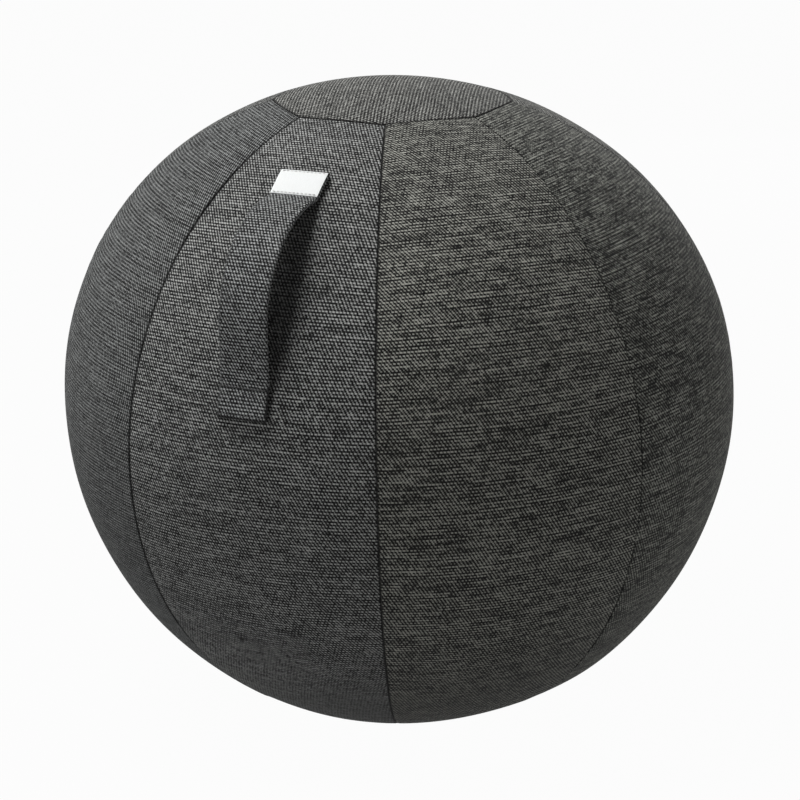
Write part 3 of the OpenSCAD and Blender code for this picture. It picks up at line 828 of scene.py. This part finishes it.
material, dye = new_finish("zip_cast_metal")
spot = dye.node("TexCoord", {}, {}, "Object")
grain = dye.node("TexNoise", {}, {"Vector": spot, "Scale": 900.0, "Detail": 4.0})
rubbed = dye.node("TexNoise", {}, {"Vector": spot, "Scale": 240.0, "Detail": 3.0}).step(0.45, 0.7)
surface(dye, grain, 0.00004, Base_Color=rubbed.between(shade("3d3d40"), shade("58585c")),
        Metallic=0.85, Roughness=0.34 + rubbed * 0.15)
for node in ("zip_stops", "zip_slider", "zip_pull"):
    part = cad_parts[node]
    part.data.materials.clear()
    part.data.materials.append(material)
    soften = part.modifiers.new("soft_edges", "BEVEL")
    soften.width, soften.segments = 0.00018, 2
    soften.limit_method, soften.angle_limit = "ANGLE", 0.7


# Bladder: the inflated inner ball of thick vinyl, its outline that of the cover one layer in,
# flat where it stands. A moulded boss on the rear side holds a push-in plug.

skin_in, skin_lift, skin_t = 0.0037, 0.0058, 0.0013


def skin_line(deep, lift):
    """The bladder's outline from its top to the middle of its flat underside."""
    high = np.radians(np.linspace(90, 0, 60))
    bend, reach, top = edge_roll - deep, low_arc[1] - deep, high_arc[1] - deep
    lean = math.asin((ball_middle - lift - bend) / (reach - bend))
    low = np.linspace(0, -lean, 52)[1:]
    roll = np.linspace(-lean, -math.pi / 2, 12)[1:]
    edge_out, edge_up = low_arc[0] + (reach - bend) * math.cos(lean), -(ball_middle - lift - bend)
    rho = np.concatenate([[0.002, 0.009], high_arc[0] + top * np.cos(high),
                          low_arc[0] + reach * np.cos(low), edge_out + bend * np.cos(roll),
                          np.linspace(edge_out, 0.003, 14)[1:]])
    up = np.concatenate([np.full(2, top), top * np.sin(high), reach * np.sin(low),
                         edge_up + bend * np.sin(roll), np.full(13, edge_up - bend)])
    return rho, up + ball_middle


def moulded(name, scale, detail, dark, light, rough, worn):
    """A moulded plastic with a faint cloudy grain."""
    material, dye = new_finish(name)
    spot = dye.node("TexCoord", {}, {}, "Object")
    cast = dye.node("TexNoise", {}, {"Vector": spot, "Scale": scale, "Detail": detail})
    surface(dye, cast, 0.0001, Base_Color=cast.between(shade(dark), shade(light)),
            Roughness=rough + cast * worn)
    return material


bladder = revolved("bladder_skin", skin_line(skin_in, skin_lift),
                   skin_line(skin_in + skin_t, skin_lift + skin_t), end=True)
for point in bladder.data.vertices:
    point.co = filled(np.array(point.co))
material, dye = new_finish("bladder_vinyl")
across, along, edge = dye.cut()
cast = dye.cloudy(across * 12, along * 12, edge * 12, 3.0)
surface(dye, cast, 0.0004, Base_Color=cast.between(shade("3b3d3f"), shade("55585b")),
        Roughness=0.38 + cast * 0.1)
bladder.data.materials.append(material)
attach(bladder, "ball")
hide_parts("bladder")

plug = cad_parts["valve_plug"]
plug.data.materials.clear()
plug.data.materials.append(moulded("plug_plastic", 60.0, 3.0, "e6e6e2", "f6f6f4", 0.35, 0.1))


# Stand ring: a flat plastic ring in a lining pocket on the base panel. It keeps the ball from
# rolling away. The pocket is a strip sewn down inside and outside the ring.

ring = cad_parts["stand_ring"]
ring.data.materials.clear()
ring.data.materials.append(moulded("ring_plastic", 90.0, 4.0, "37373a", "4b4b4e", 0.45, 0.15))

ring_in, ring_out = 0.0791, 0.1040
pocket_t, pocket_low, pocket_top, pocket_hem = 0.0008, 0.0019, 0.0055, 0.0113
wall_in, wall_out, ring_middle = ring_in - 0.0003, ring_out + 0.0003, ring_in + 0.0125
upper = np.array([
    (ring_in - pocket_hem, pocket_low + pocket_t), (wall_in - 0.0013, pocket_low + pocket_t),
    (wall_in - pocket_t, pocket_low + 0.0012), (wall_in - pocket_t, pocket_top - 0.0006),
    (ring_in - 0.0006, pocket_top), (ring_middle, pocket_top + 0.0001),
    (ring_out + 0.0006, pocket_top), (wall_out + pocket_t, pocket_top - 0.0006),
    (wall_out + pocket_t, pocket_low + 0.0004)])
lower = np.array([
    (ring_in - pocket_hem, pocket_low), (wall_in - 0.0005, pocket_low),
    (wall_in, pocket_low + 0.0004), (wall_in, pocket_top - 0.0012),
    (ring_in, pocket_top - pocket_t), (ring_middle, pocket_top - 0.0007),
    (ring_out, pocket_top - pocket_t), (wall_out, pocket_top - 0.0012),
    (wall_out, pocket_low + 0.0004)])
pocket = revolved("ring_pocket_lining", upper.T, lower.T, start=False)
pocket.data.materials.append(lining)
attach(pocket, "ball")
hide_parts("ring_pocket")


# Studio: a pale floor that shows as white, even light from large lamps above, in front and at
# the right and the back, and the camera where the photograph was taken from.

bpy.ops.mesh.primitive_plane_add(size=60)
floor = bpy.context.object
floor.name = "studio_floor"
material, dye = new_finish("pale_floor")
seen = dye.node("LightPath", {}, {}, "Is Camera Ray")
gloss = dye.node("LightPath", {}, {}, "Is Glossy Ray")
matt = dye.node("BsdfDiffuse", {}, {"Color": (0.2, 0.2, 0.2, 1)})
white = dye.node("Emission", {}, {"Color": (1, 1, 1, 1), "Strength": 1.0})
mixed = dye.node("MixShader", {}, {0: (seen + gloss) * 0.97, 1: matt, 2: white})
dye.node("OutputMaterial", {}, {"Surface": mixed})
floor.data.materials.append(material)

world = bpy.data.worlds.new("studio")
bpy.context.scene.world = world
world.use_nodes = True
world.node_tree.nodes.clear()
dye = Dye(world.node_tree)
seen = dye.node("LightPath", {}, {}, "Is Camera Ray")
gloss = dye.node("LightPath", {}, {}, "Is Glossy Ray")
strength = (seen + gloss) * 0.96 + 0.04
sky = dye.node("Background", {}, {"Color": (1, 1, 1, 1), "Strength": strength})
dye.node("OutputWorld", {}, {"Surface": sky})


def lamp(name, place, size, power):
    """A round soft lamp that faces the ball."""
    data = bpy.data.lights.new(name, "AREA")
    data.shape, data.size, data.energy = "DISK", size, power
    light = bpy.data.objects.new(name, data)
    light.location = place
    light.rotation_mode = "QUATERNION"
    aim = Vector((0, 0, 0.3)) - Vector(place)
    light.rotation_quaternion = aim.to_track_quat("-Z", "Y")
    bpy.context.scene.collection.objects.link(light)


lamp("overhead", (-0.7, -0.42, 2.45), 1.1, 44.5)
lamp("front_left", (-1.3, -2.2, 0.6), 1.6, 18)
lamp("right", (2.5, -0.4, 0.5), 1.6, 13)
lamp("back", (-0.3, 2.5, 0.9), 1.6, 14)

camera_away, camera_roll = 2.531, math.radians(-1.29)
focal_share, sensor_w = 2571.6 / 800, 36.0
back = Vector((math.sin(photo_turn) * math.cos(photo_rise),
               -math.cos(photo_turn) * math.cos(photo_rise), math.sin(photo_rise)))
data = bpy.data.cameras.new("photo_camera")
data.sensor_width, data.lens = sensor_w, focal_share * sensor_w
data.shift_x, data.shift_y = 0.0004, -0.009
data.clip_end = 200
camera = bpy.data.objects.new("photo_camera", data)
camera.location = Vector((0, 0, ball_middle)) + back * camera_away
camera.rotation_mode = "QUATERNION"
camera.rotation_quaternion = (-back).to_track_quat("-Z", "Y")
camera.rotation_quaternion @= Quaternion((0, 0, 1), camera_roll)
bpy.context.scene.collection.objects.link(camera)
bpy.context.scene.camera = camera
bpy.context.scene.view_settings.view_transform = "Standard"
